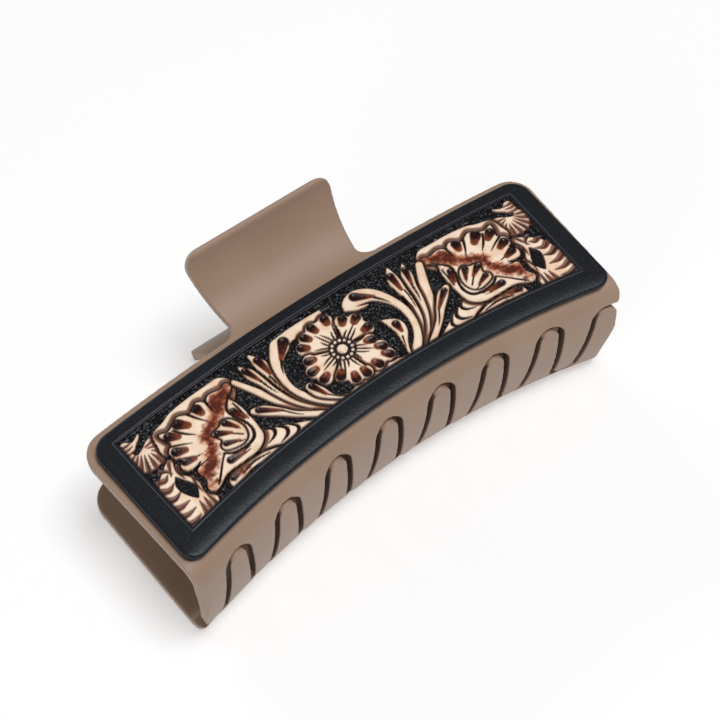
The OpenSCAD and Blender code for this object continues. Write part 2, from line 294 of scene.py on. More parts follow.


# The panel's floral carving, drawn on the flat sheet in millimetres from the cover's middle: x to the right
# and y towards the thumb tabs. Heights are from the leather's face, dyes and the painted shade and glints are
# screen values from 0 to 255, and each cloud of noise has a seed of its own.
CREAM = screen_rgb(249, 226, 203)
PEACH = screen_rgb(232, 186, 150)
CUT = screen_rgb(30, 12, 6)
TAN = screen_rgb(146, 86, 56)
# painted shadow beside raised forms, partly antique dye settled in the pressed bevel
SHADOW_AND_ANTIQUE = screen_rgb(94, 54, 38)
DARK_DYE = screen_rgb(34, 15, 13)
RED_DYE = screen_rgb(106, 46, 28)
BRUSHED_DARK = screen_rgb(80, 27, 14)
BRUSHED_PALE = screen_rgb(160, 86, 56)
VEIN_GREY = screen_rgb(112, 76, 62)
VEIN_RED = screen_rgb(84, 30, 20)
GROUND = screen_rgb(13, 13, 15)
# painted glint on the tops of the ground's grains
GRAIN_GLINT = screen_rgb(120, 122, 124)
HUB_DYE = screen_rgb(38, 24, 22)
GROUND_DEPTH = 0.45
GRAIN_SIZE, GRAIN_HEIGHT, GRAIN_SINK = 0.6, 0.2, 0.06
CUT_DEPTH, PRINT_DEPTH = 0.14, 0.24
# roughness of the beaten ground, the forms' faces, the pressed prints and the plain border
GROUND_ROUGH, FACE_ROUGH, PRINT_ROUGH, BORDER_ROUGH = 0.30, 0.42, 0.26, 0.36
MIRROR = -0.4  # x of the line about which the right half mirrors the left one
FLOWER_MIDDLE = (-28.6, 1.4)
FAR, TINY = 99.0, 1e-9  # farther than anything on the panel, and too short to divide by
TILE, SHIFT = 256, 100  # cells after which noise repeats, and cells added to keep their numbers positive


def span(a, b):
    return (a * a + b * b) ** 0.5


def mix(a, b, share):
    return a + (b - a) * share[:, None]


def eased(t):
    """From 0 to 1, with soft ends."""
    t = np.clip(t, 0, 1)
    return t * t * (3 - 2 * t)


def polar(x, y, middle):
    """Distance from a middle, and the angle about it."""
    dx, dy = x - middle[0], y - middle[1]
    return np.hypot(dx, dy), np.arctan2(dy, dx)


def lattice(shape, seed):
    return np.random.default_rng(seed).random(shape)


def cells(x, y, size):
    """Places counted in cells of this size, and the cells that they lie in."""
    u, v = x / size + SHIFT, y / size + SHIFT
    return u, v, np.floor(u).astype(int), np.floor(v).astype(int)


def cloud(x, y, size, seed):
    """Soft noise from 0 to 1, with patches about size across."""
    grid = lattice((TILE, TILE), seed)
    u, v, i, j = cells(x, y, size)
    s, t = eased(u - i), eased(v - j)
    i, j, next_i, next_j = i % TILE, j % TILE, (i + 1) % TILE, (j + 1) % TILE
    low = grid[i, j] * (1 - s) + grid[next_i, j] * s
    high = grid[i, next_j] * (1 - s) + grid[next_i, next_j] * s
    return low * (1 - t) + high * t


def pebbles(x, y, size, seed):
    """Height of round grains packed side by side, 1 on top and 0 between, and each grain's own number."""
    shift = lattice((TILE, TILE, 2), seed)
    own = lattice((TILE, TILE), seed + 1)
    u, v, i, j = cells(x, y, size)
    near = np.full(x.shape, FAR)
    tone = np.zeros(x.shape)
    # a grain's radius in cells, and the room for its middle, from near one edge of its cell
    radius, edge, play = 0.62, 0.15, 0.7
    for a in (-1, 0, 1):
        for b in (-1, 0, 1):
            p, q = (i + a) % TILE, (j + b) % TILE
            middle_u = i + a + edge + play * shift[p, q, 0]
            middle_v = j + b + edge + play * shift[p, q, 1]
            away = np.hypot(middle_u - u, middle_v - v)
            closer = away < near
            near, tone = np.where(closer, away, near), np.where(closer, own[p, q], tone)
    return np.clip(1 - (near / radius) ** 2, 0, 1), tone


def rounded(points, closed=False, steps=6):
    """A smooth line through the points; further columns, such as widths, go along."""
    p = np.array(points, float)
    n = len(p)
    last = n if closed else n - 1
    out = []
    for i in range(last):
        a, b, c, d = (p[(i + k) % n] if closed else p[min(max(i + k, 0), n - 1)] for k in (-1, 0, 1, 2))
        for s in range(steps):
            t = s / steps
            out.append(0.5 * (2 * b + (c - a) * t + (2 * a - 5 * b + 4 * c - d) * t * t
                              + (3 * b - a - 3 * c + d) * t ** 3))
    if not closed:
        out.append(p[-1])
    return np.array(out)


def beside(x, y, ax, ay, bx, by):
    """Distance from a straight line between two points, and the share along it of the nearest place."""
    dx, dy = bx - ax, by - ay
    t = np.clip(((x - ax) * dx + (y - ay) * dy) / max(dx * dx + dy * dy, TINY), 0, 1)
    return np.hypot(x - ax - t * dx, y - ay - t * dy), t


def from_band(x, y, points, steps=6):
    """Distance from a smooth band of changing width, negative inside it. Points are x, y, width."""
    line = rounded(points, steps=steps)
    best = np.full(x.shape, FAR)
    for (ax, ay, aw), (bx, by, bw) in zip(line[:-1], line[1:]):
        away, t = beside(x, y, ax, ay, bx, by)
        best = np.minimum(best, away - (aw + (bw - aw) * t) / 2)
    return best


def from_outline(x, y, points):
    """Distance from a smooth closed outline, negative inside it."""
    p = rounded(points, closed=True, steps=5)
    best = np.full(x.shape, FAR)
    inside = np.zeros(x.shape, bool)
    for (ax, ay), (bx, by) in zip(p, np.roll(p, -1, 0)):
        best = np.minimum(best, beside(x, y, ax, ay, bx, by)[0])
        if ay != by:
            inside ^= ((ay > y) != (by > y)) & (x < ax + (y - ay) * (bx - ax) / (by - ay))
    return np.where(inside, -best, best)


class Tooling:
    """The face of the panel while it is carved and dyed: height, colour and gloss at each point.

    In each tool, k are the points in its reach, and d is their distance from its edge, negative inside.
    """

    def __init__(self, x, y):
        self.x, self.y = x, y
        grain, tone = pebbles(x, y, GRAIN_SIZE, 3)
        self.grain = grain
        self.height = -GROUND_DEPTH + GRAIN_HEIGHT * grain - GRAIN_SINK
        # the beaten ground is painted darker between its grains and paler on their tops, each grain by its
        # own tone: painted shade and painted highlight
        self.dye = mix(GROUND * 0.5, GROUND * 1.5 + 6, grain * (0.45 + 0.55 * tone))
        # pale tops on some grains: painted glints
        self.dye = mix(self.dye, GRAIN_GLINT, 0.65 * grain ** 3 * eased((tone - 0.6) / 0.3))
        self.rough = np.full(x.shape, GROUND_ROUGH)
        self.ground = np.ones(x.shape)

    def stain(self, k, dye, share):
        """Dye laid on points by its share."""
        self.dye[k] = mix(self.dye[k], dye, share)

    def window(self, points, margin=1.6, mirrored=False):
        """The points of the panel near a form, and their places, mirrored where the form is."""
        p = np.array([q[:2] for q in points], float)
        wide = max([q[2] for q in points if len(q) > 2] + [0]) / 2 + margin
        x = 2 * MIRROR - self.x if mirrored else self.x
        near = (x > p[:, 0].min() - wide) & (x < p[:, 0].max() + wide)
        near &= (self.y > p[:, 1].min() - wide) & (self.y < p[:, 1].max() + wide)
        k = np.nonzero(near)[0]
        return k, x[k], self.y[k]

    def form(self, k, d, sink=0.26, bevel=0.75, cut=0.21):
        """A form with a cut outline, bevelled down all round, and a domed face that stands up."""
        h, c, g = self.height[k], self.dye[k], self.ground[k]
        fall = np.clip(1 - d / bevel, 0, 1) * (d > 0)
        h = h - sink * fall ** 1.6 * (1 - g)
        # round its edge the form beneath is painted darker, darkest at the cut: painted shadow, partly
        # antique dye settled in the pressed bevel
        c = mix(c, SHADOW_AND_ANTIQUE, 0.85 * eased(2.2 * fall) * (1 - g))
        c = mix(c, CUT, 0.9 * fall ** 4)
        face = eased(0.5 - d / 0.16)
        dome = -0.10 * np.exp(np.minimum(d, 0) / 0.3)
        h = h * (1 - face) + dome * face
        patches = 1.5 * cloud(self.x[k], self.y[k], 1.7, 21) + 0.5 * cloud(self.x[k], self.y[k], 0.5, 22)
        c = mix(c, mix(CREAM, PEACH, 0.55 * eased(patches - 0.75)), face)
        # the face's rim is painted darker peach: painted shade where the dome rolls down to the cut
        c = mix(c, PEACH * 0.80, face * 0.7 * np.exp(np.minimum(d, 0) / 0.25))
        line = np.clip(1.25 - np.abs(d - 0.05) / cut, 0, 1)
        h = h - 0.1 * line
        c = mix(c, CUT, eased(line))
        self.height[k], self.dye[k] = h, c
        self.ground[k] = g * (1 - face)
        self.rough[k] = self.rough[k] * (1 - face) + FACE_ROUGH * face

    def band(self, points, mirrored=False, **settings):
        k, x, y = self.window(points, mirrored=mirrored)
        self.form(k, from_band(x, y, points), **settings)

    def outline(self, points, mirrored=False, **settings):
        k, x, y = self.window(points, mirrored=mirrored)
        self.form(k, from_outline(x, y, points), **settings)

    def band_ground(self, points, mirrored=False):
        """A gap in a form, down to the beaten ground."""
        k, x, y = self.window(points, mirrored=mirrored)
        d = from_band(x, y, points)
        share = eased(0.5 - d / 0.2)
        self.height[k] = self.height[k] * (1 - share) + (-GROUND_DEPTH + 0.1 * self.grain[k]) * share
        # darker between the grains: painted shade
        self.stain(k, mix(GROUND * 0.5, GROUND * 1.7, self.grain[k]), share)
        self.ground[k] = self.ground[k] * (1 - share) + share
        self.stain(k, CUT, eased(np.clip(1.2 - np.abs(d) / 0.2, 0, 1)))

    def stroke(self, points, mirrored=False, strength=1.0, depth=CUT_DEPTH, dye=CUT):
        """A dark tapered cut."""
        k, x, y = self.window(points, margin=0.4, mirrored=mirrored)
        inside = eased(0.5 - from_band(x, y, points, 4) / 0.14) * strength
        self.height[k] -= depth * inside
        self.stain(k, dye, inside)

    def thumbprint(self, mark, mirrored=False, tail=0.45, red=1.0):
        """A dished oval pressed with a pear shader, from its dark broad end to its reddish narrow end."""
        x0, y0, x1, y1, width = mark
        middle = ((x0 + x1) / 2, (y0 + y1) / 2, width * (1 + tail) / 2)
        oval = [(x0, y0, width), middle, (x1, y1, width * tail)]
        k, x, y = self.window(oval, margin=0.8, mirrored=mirrored)
        d = from_band(x, y, oval, 3)
        length = max(span(x1 - x0, y1 - y0), 0.1)
        t = ((x - x0) * (x1 - x0) + (y - y0) * (y1 - y0)) / length ** 2
        inside = eased(0.5 - d / 0.34)
        deep = np.clip(-d / (width / 2), 0, 1)
        patch = 0.6 * cloud(x, y, 0.5, 5) + 0.4 * cloud(x, y, 0.2, 6)
        shade = eased((t + 0.1) / 1.2 + 0.8 * (patch - 0.5)) * red
        c = mix(DARK_DYE, RED_DYE, shade)
        c = mix(c, TAN, 0.45 * eased(1.6 * t + patch - 1.2))
        c = mix(c, DARK_DYE * 0.8, 0.7 * eased(1 - (t + 0.6) / 0.5) * (1 - deep))
        self.height[k] -= PRINT_DEPTH * inside * eased(deep * 1.2)
        self.stain(k, c, inside)
        self.rough[k] = self.rough[k] * (1 - inside) + PRINT_ROUGH * inside

    def brush(self, points, mirrored=False):
        """Dye brushed outwards from the flower's middle, fading at a ragged edge."""
        k, x, y = self.window(points, margin=1.4, mirrored=mirrored)
        r, a = polar(x, y, FLOWER_MIDDLE)
        streak = 0.6 * cloud(a * 7, r, 0.9, 11) + 0.4 * cloud(a * 14, r, 0.6, 12)
        d = from_band(x, y, points) + 1.5 * (streak - 0.5) + 0.5 * (cloud(x, y, 0.35, 13) - 0.5)
        share = eased(0.55 - d / 1.3) * 0.95 * (1 - self.ground[k])
        tone = 0.5 * cloud(a * 9, r, 0.8, 14) + 0.3 * cloud(x, y, 0.9, 15) + 0.2 * cloud(x, y, 0.25, 16)
        dark = eased(1.7 * tone - 0.6 + 0.6 * eased(-d / 1.3))
        # the brush leaves what is dark already
        pale = eased((self.dye[k].sum(1) - 250) / 150)
        self.stain(k, mix(BRUSHED_PALE, BRUSHED_DARK, dark), share * pale)


# The rosette: its middle, its fine cuts, its hub and ring of beads, and its petals. A petal is the angles in
# degrees where it begins and ends, and the places of its lobes, each pressed with a thumbprint.
ROSETTE = (-2, 4.1)
ROSETTE_CUTS, LOBE_RADIUS = 26, 1.5
HUB_RADIUS, BEADS, BEAD_RING = 2.7, 13, 2.0
PETALS = [
    (66, 157, [(-7.7, 8.5), (-6.1, 10), (-3.8, 10.9), (-0.8, 11)]),
    (-1, 66, [(1.7, 9), (3.9, 7.8), (4.4, 5)]),
    (-77, -1, [(3.2, 2.4), (4, 0.1), (4, -2), (1.2, -2.5)]),
    (-142, -77, [(-1.7, -2.6), (-3.9, -2.4), (-5.7, -0.4)]),
    (157, 218, [(-8.4, 0.9), (-9.3, 3.3), (-8.4, 5.5)])]

# Leaves and stems of the left half. A band or a cut is x, y and width at each of its points, an outline is
# x and y, and a print is the x and y of its broad end, those of its narrow end, and its width.
STEMS = [
    [(-22.3, 10.4, 1.2), (-20.4, 6.8, 1.5), (-18.4, 2.8, 1.8), (-15.8, -1.2, 1.9), (-11.8, -5, 1.6)],
    [(-19.7, 12.4, 0.6), (-18.9, 10, 2.3), (-18.1, 7.2, 1.8), (-17.4, 4, 1.4), (-15.9, 0.5, 1.4),
     (-13.6, -2.6, 1.4), (-11.2, -5.1, 1.2)],
    [(-23, 3.1, 1.4), (-21.4, 2.1, 2.3), (-19.2, 0.1, 1.9), (-17, -2.2, 1.4), (-13, -5.1, 1.4)],
    [(-16.8, 13.3, 0.8), (-16.1, 10.6, 2.5), (-15.9, 7.8, 2), (-15.6, 4.5, 1.5), (-14.5, 0.8, 1.5),
     (-12.2, -2.6, 1.4), (-9.6, -5.1, 1.3)]]
STEM_PRINTS = [
    (-19.3, 11.1, -18.3, 7.8, 1.5), (-22.2, 2.7, -18.8, 0.1, 1.4), (-16.1, 11.6, -15.9, 7.9, 1.7)]
STEM_CUTS = [
    [(-18.2, 7.6, 0.5), (-17.7, 5.2, 0.35), (-17.2, 3.6, 0.1)],
    [(-18.7, 0, 0.4), (-17.3, -1.9, 0.3), (-16.2, -3, 0.1)],
    [(-16.3, 7.4, 0.45), (-16.1, 5.4, 0.3), (-15.6, 3, 0.1)],
    [(-15, 6.6, 0.5), (-14.9, 3, 0.45), (-14, 0.6, 0.1)]]

# The scrolled leaves beside the rosette, the small leaves inside them, each with its print and its cut, and
# the leaf along its foot. A scrolled leaf has a tip too, the left one's being the crest over the rosette.
SCROLLED_LEAVES = [
    ([(-6.4, -5.4, 2.2), (-9.6, -4.2, 2), (-12.6, -1.4, 1.7), (-14.4, 2, 1.4), (-14.6, 5.6, 1.7),
      (-13.4, 9.2, 2.6), (-11, 11.7, 3.9)],
     [(-11, 12.2, 2.8), (-7.5, 12.6, 2.7), (-4, 12.9, 2.2), (-0.6, 13.3, 1.2)],
     (-9.9, 12, -12.5, 9.1, 2.3),
     [(-12.6, 8.8, 0.6), (-13.4, 7.6, 0.4), (-14, 6.2, 0.1)]),
    ([(6.4, -5.4, 2.2), (9.6, -3.8, 1.9), (11.9, -0.6, 1.6), (12.8, 3.4, 1.7), (12, 7.2, 2), (10, 10.3, 2.9),
      (7.4, 11.6, 3.7), (5.2, 11.4, 2.9), (4, 10.7, 1.2)],
     [(4.2, 10.7, 1.3), (5.9, 9.6, 1), (8, 9.1, 0.4)],
     (6.8, 12, 9.9, 9.9, 2.1),
     [(9.9, 9.6, 0.6), (10.9, 8.2, 0.4), (11.6, 6.8, 0.1)])]
SMALL_LEAVES = [
    ([(-11.7, 1, 2), (-11, -0.8, 2.5), (-9.7, -3.1, 1.2), (-8, -4.7, 0.5)],
     (-11.5, 0.9, -10.4, -2, 1.5),
     [(-10.1, -2.3, 0.4), (-8.5, -4.2, 0.15)]),
    ([(7.7, 4.6, 0.4), (9.2, 2.4, 2.6), (9.3, 0.6, 2.5), (8.2, -2, 1.2), (7.2, -4.8, 0.5)],
     (9.3, 2.3, 9.2, 0.4, 1.7),
     [(8.6, -0.6, 0.4), (7.6, -3, 0.15)])]
FOOT_LEAF = [(-8.5, -5.3, 0.8), (-4.5, -4.7, 1.8), (0, -4.5, 2.2), (4, -4.7, 2), (7.5, -5.3, 1)]

# The ribbed stem under the half flower, the flower's fan and cup, and the low leaf below it.
RIBBED_STEM = [
    (-25.4, -1.9), (-24.3, -0.9), (-21.2, -2.1), (-18.9, -3.2), (-15.5, -4.9), (-14.6, -5.7), (-19, -5.9),
    (-21.4, -6.1), (-24.1, -5), (-27, -4.1), (-26, -3.4)]
RIBS = [
    [(-23.7, -1, 0.2), (-22.4, -2, 0.75), (-22.8, -3.2, 0.65), (-24.7, -4, 0.15)],
    [(-21.8, -1.9, 0.2), (-20.4, -3.2, 0.8), (-20.9, -4.5, 0.7), (-22.8, -5.2, 0.15)],
    [(-19.6, -3, 0.2), (-18.5, -4.2, 0.75), (-19.1, -5.2, 0.6), (-20.8, -5.7, 0.15)]]

FAN_BACK = [
    (-24, 13.1), (-22.2, 11.1), (-22.4, 9.6), (-26, 6), (-34, 4), (-40.6, 5), (-40.9, 8), (-40.2, 10.4),
    (-37.4, 11.4), (-35.2, 12.3), (-31, 12.9), (-27, 13.1)]
FAN = [
    (-22.7, 10.5), (-23.9, 11.3), (-25, 10.8), (-27.4, 11.1), (-28.6, 10.3), (-28.75, 8.8), (-29.1, 10.4),
    (-30.3, 11.1), (-31.7, 10.2), (-32.7, 9.9), (-34.6, 10.7), (-36, 10), (-37.6, 9.2), (-39.5, 9.5),
    (-39.2, 7.6), (-38.8, 6.6), (-40.1, 5.3), (-39.8, 3.5), (-39, 3.1), (-40, 1.6), (-39.3, 0.1),
    (-37.6, 0.1), (-36.5, 0.4), (-38.1, -0.9), (-37.8, -3.2), (-38.6, -4.9), (-37.7, -6.1), (-36.2, -5.7),
    (-33.9, -4.5), (-30, -4.3), (-26.6, -3.9), (-24.5, -2.3), (-24, 0), (-24, 4), (-24.4, 6.6),
    (-24.9, 8.2), (-23.5, 9.6)]
CUP = [
    (-31.9, 3.7), (-30.8, 4.1), (-29.8, 4.3), (-28.7, 5.1), (-27.4, 4.5), (-26.6, 3.2), (-26.2, 1.4),
    (-26.8, -0.4), (-28.2, -1.2), (-30.2, -1), (-31.6, -0.4), (-31.8, 0.7), (-31, 1.6), (-31.4, 2.6)]
CUP_PRINTS = [(-28.6, 4.2, -27.2, 2.2, 1.5), (-30.9, 3.2, -28.8, 1.9, 1.5), (-30.8, 0.6, -28.5, -0.3, 1.3)]
FAN_PRINTS = [
    (-38.2, 8, -36.9, 7.1, 2.1), (-35.5, 9.2, -34.2, 8, 2.3), (-31, 9.8, -30.7, 8.6, 2.1),
    (-38.9, 4.6, -37.4, 4, 2), (-38.7, 2, -37.1, 1.6, 1.8), (-26, 5.4, -25, 3.2, 1.5),
    (-32.1, -2.7, -29.4, -2.7, 1.6)]
FAN_BRUSHED = [
    [(-24, 10.5, 1.4), (-27, 8.6, 3.4), (-29.3, 6.2, 1.9), (-32.5, 4.4, 1.9), (-33.2, 1.5, 1.9),
     (-35, -0.9, 2.6), (-36.9, -2.2, 3)],
    [(-27.4, 10, 1.4), (-27.9, 7.2, 1.8)],
    [(-37.9, -4.8, 1), (-36.6, -4.6, 0.9)],
    [(-24.4, 10.3, 1.1), (-24.3, 9, 0.8)]]
FAN_CUTS = [
    [(-28.7, 10.6, 0.5), (-28.9, 8.6, 0.35), (-28.7, 7, 0.1)],
    [(-32.9, 9.9, 0.65), (-32, 8.2, 0.5), (-30.8, 6.4, 0.15)],
    [(-36.9, 8.7, 0.45), (-35.6, 6.9, 0.55), (-34.1, 5.5, 0.15)],
    [(-39, 6.1, 0.5), (-37.2, 5.3, 0.4), (-35.5, 4.4, 0.15)],
    [(-38.4, 2.1, 0.2), (-36.6, 1.7, 0.35), (-35.2, 1.5, 0.12)],
    [(-38.9, -0.3, 0.8), (-37.2, -0.2, 0.4), (-35, 0.1, 0.1)],
    [(-32.2, -0.8, 0.5), (-30.8, -1.7, 0.6), (-28.4, -2, 0.65), (-26.2, -1.4, 0.7), (-25.3, 0.2, 0.65),
     (-25.5, 2.2, 0.6), (-26.4, 4.2, 0.6), (-26.7, 6.4, 0.55), (-25, 8.5, 0.4), (-24.4, 9.4, 0.2)],
    [(-32.2, -0.8, 0.4), (-33.6, -2.2, 0.35), (-35.5, -4.3, 0.5), (-36.6, -5.4, 0.3)],
    [(-25, 6.8, 0.35), (-24.8, 4.6, 0.45), (-24.6, 2.5, 0.3)]]
# on the cup, so they are cut again once it lies over the fan
CUP_CUTS = [
    [(-28.6, 1.6, 0.35), (-27.3, 0.4, 0.35)],
    [(-27.6, 2.4, 0.3), (-26.9, 1.6, 0.15)],
    [(-28.6, -0.5, 0.3), (-27.5, -0.8, 0.2)]]
CUP_FOOT_CUTS = [[(-29, -2.5, 0.3), (-27.6, -2.4, 0.15)], [(-29.3, -3.1, 0.3), (-27.9, -2.9, 0.15)]]
LOW_LEAF = [
    (-34.9, -6.2), (-33.6, -4.9), (-31.4, -4.5), (-27.8, -4.6), (-24.8, -5.2), (-21, -6.3), (-24, -6.6),
    (-27.5, -6.3), (-30.2, -6.4), (-32.2, -7.1), (-34.5, -7.8)]
LOW_LEAF_BRUSHED = [(-33.2, -5.6, 1.4), (-30.6, -5.5, 0.9)]
LOW_LEAF_PRINT = (-33.8, -5.9, -31.8, -5.5, 1.3)
LOW_LEAF_CUT = [(-31.9, -6.2, 0.3), (-29, -5.4, 0.5), (-25.6, -5.6, 0.25)]

# The leaves at the panel's end, and the gap in the lower one.
END_CURL = [
    (-46.6, 10.2), (-46.4, 11.8), (-45.2, 12.1), (-44, 11.3), (-42.2, 12.2), (-42.4, 11.3), (-43.6, 10.3),
    (-44.7, 9.3), (-46.2, 9.2)]
END_FAN = [
    (-44.6, 8.5), (-43.2, 9.1), (-41.8, 10), (-39.8, 10.3), (-39.7, 8.4), (-40.1, 6.2), (-41.3, 4.9),
    (-43, 4.2), (-45, 4.3), (-46.3, 5.3), (-47, 7), (-46.7, 8.8), (-45.4, 9.4)]
END_LEAF = [
    (-41.1, 4.3), (-42.9, 3), (-44.8, 1.4), (-45.7, -0.6), (-46.3, -3), (-46.4, -5.4), (-46.2, -8),
    (-46.2, -10.4), (-42, -9.6), (-38.9, -8.7), (-38, -7.5), (-38.2, -6.3), (-39.2, -5.2), (-39, -2.6),
    (-39.8, -0.7), (-41, 0.9), (-40.8, 2.4), (-40.2, 3.8)]
END_HOLE = [(-41.8, 0.3, 0.2), (-41.8, -1.4, 1.9), (-41.1, -3.2, 2.2), (-40.9, -5.2, 0.2)]
# the grooves of these leaves
END_VEINS = [
    [(-43.4, 3, 0.7), (-42.5, 2.4, 0.5), (-41.9, 1.3, 0.15)],
    [(-44.7, 1.3, 0.9), (-43.7, 1, 0.7), (-42.7, 1.7, 0.15)],
    [(-45.4, -0.6, 1), (-44.2, -1.1, 0.8), (-42.7, -0.3, 0.15)],
    [(-45.8, -2.6, 1.1), (-44.4, -3.1, 0.8), (-42.7, -2.5, 0.15)],
    [(-45.9, -4.6, 1), (-44.4, -5.1, 0.8), (-42.4, -4.8, 0.15)],
    [(-45.8, -6.6, 1), (-44.2, -7, 0.7), (-42.3, -6.6, 0.15)],
    [(-45.7, -8.6, 0.9), (-44, -8.8, 0.7), (-42.3, -8.2, 0.15)],
    [(-41.5, -9, 0.7), (-41.2, -7.6, 0.6), (-41.1, -5.9, 0.15)],
    [(-40.3, -8.8, 0.7), (-40.1, -7.4, 0.6), (-40.1, -5.8, 0.15)],
    [(-39, -8.3, 0.6), (-39.1, -7, 0.5), (-39.4, -5.6, 0.15)],
    [(-41.2, 3.8, 0.5), (-41.7, 2.6, 0.45), (-42.4, 1, 0.15)],
    [(-40.3, 2.4, 0.4), (-40.9, 0.9, 0.4), (-40.6, -0.8, 0.15)],
    [(-39.3, -1, 0.4), (-39.7, -2.8, 0.4), (-39.6, -4.6, 0.15)]]
END_FAN_VEINS = [
    [(-46.5, 11.2, 0.5), (-45.4, 11.1, 0.4), (-44.3, 11.2, 0.12)],
    [(-46.6, 10.4, 0.5), (-45.5, 10.2, 0.4), (-44.3, 10.5, 0.12)],
    [(-46.7, 9.4, 0.5), (-45.6, 9.3, 0.4), (-44.6, 9.6, 0.12)],
    [(-46.8, 7.9, 0.6), (-45.7, 8.2, 0.4), (-44.7, 8.8, 0.12)],
    [(-46.7, 6.5, 0.7), (-45.6, 7.2, 0.5), (-44.6, 8.3, 0.12)],
    [(-45.9, 5.2, 0.7), (-45.1, 6.4, 0.5), (-44.2, 7.9, 0.12)],
    [(-44.7, 4.6, 0.7), (-44.3, 5.9, 0.5), (-43.7, 7.6, 0.12)],
    [(-43.3, 4.5, 0.7), (-43.2, 5.8, 0.5), (-43.1, 7.3, 0.12)],
    [(-41.9, 4.9, 0.7), (-42.2, 6.1, 0.5), (-42.6, 7.3, 0.12)],
    [(-40.6, 6, 0.6), (-41.3, 6.9, 0.5), (-42.2, 7.7, 0.12)],
    [(-40.2, 7.9, 0.5), (-41.3, 8.1, 0.4), (-42.6, 8.5, 0.12)],
    [(-40.2, 9.3, 0.4), (-41.5, 9.1, 0.4), (-42.9, 8.9, 0.12)]]


def each(tool, marks, mirrored, **settings):
    for mark in marks:
        tool(mark, mirrored, **settings)


def wider(points, times, lower=0.0):
    """The same line with its width changed, moved down a little."""
    return [(px, py - lower, times * w) for px, py, w in points]


def carve_half(t, m):
    """The half flower with its leaves and stems, back to front, and mirrored if m."""
    k, x, y = t.window(END_CURL + END_FAN, mirrored=m)
    t.form(k, np.minimum(from_outline(x, y, END_CURL), from_outline(x, y, END_FAN)))
    t.outline(END_LEAF, m)
    for i, v in enumerate(END_FAN_VEINS + END_VEINS):
        t.stroke(wider(v, 1.6), m, 0.85, 0.08, dye=VEIN_GREY)
        t.stroke(wider(v, 0.55, lower=0.15), m, 0.85, 0.1, dye=VEIN_RED if i % 3 else CUT)
    t.band_ground(END_HOLE, m)
    t.outline(FAN_BACK, m)
    t.outline(LOW_LEAF, m)
    t.brush(LOW_LEAF_BRUSHED, m)
    t.thumbprint(LOW_LEAF_PRINT, m)
    t.stroke(LOW_LEAF_CUT, m)
    t.outline(RIBBED_STEM, m)
    each(t.stroke, RIBS, m, depth=0.2)
    t.outline(FAN, m, sink=0.34, bevel=1.15)
    each(t.brush, FAN_BRUSHED, m)
    each(t.stroke, FAN_CUTS + CUP_CUTS + CUP_FOOT_CUTS, m)
    each(t.thumbprint, FAN_PRINTS, m, tail=0.7)
    t.outline(CUP, m, sink=0.2, bevel=0.5)
    each(t.thumbprint, CUP_PRINTS, m)
    each(t.stroke, CUP_CUTS, m)
    # the right half's first stem is a broader one
    t.band(wider(STEMS[0], 1.4 if m else 1.0), m)
    each(t.band, STEMS[1:], m)
    each(t.thumbprint, STEM_PRINTS, m)
    each(t.stroke, STEM_CUTS, m)


def carve(t):
    """Everything on the panel, back to front."""
    for mirrored in (False, True):
        carve_half(t, mirrored)
    for leaf, tip, leaf_print, cut in SCROLLED_LEAVES:
        k, x, y = t.window(leaf + tip)
        t.form(k, np.minimum(from_band(x, y, leaf), from_band(x, y, tip)))
        t.thumbprint(leaf_print, tail=0.35)
        t.stroke(cut)
    t.band(FOOT_LEAF)
    for leaf, leaf_print, cut in SMALL_LEAVES:
        t.band(leaf)
        t.thumbprint(leaf_print)
        t.stroke(cut)
    rosette(t)


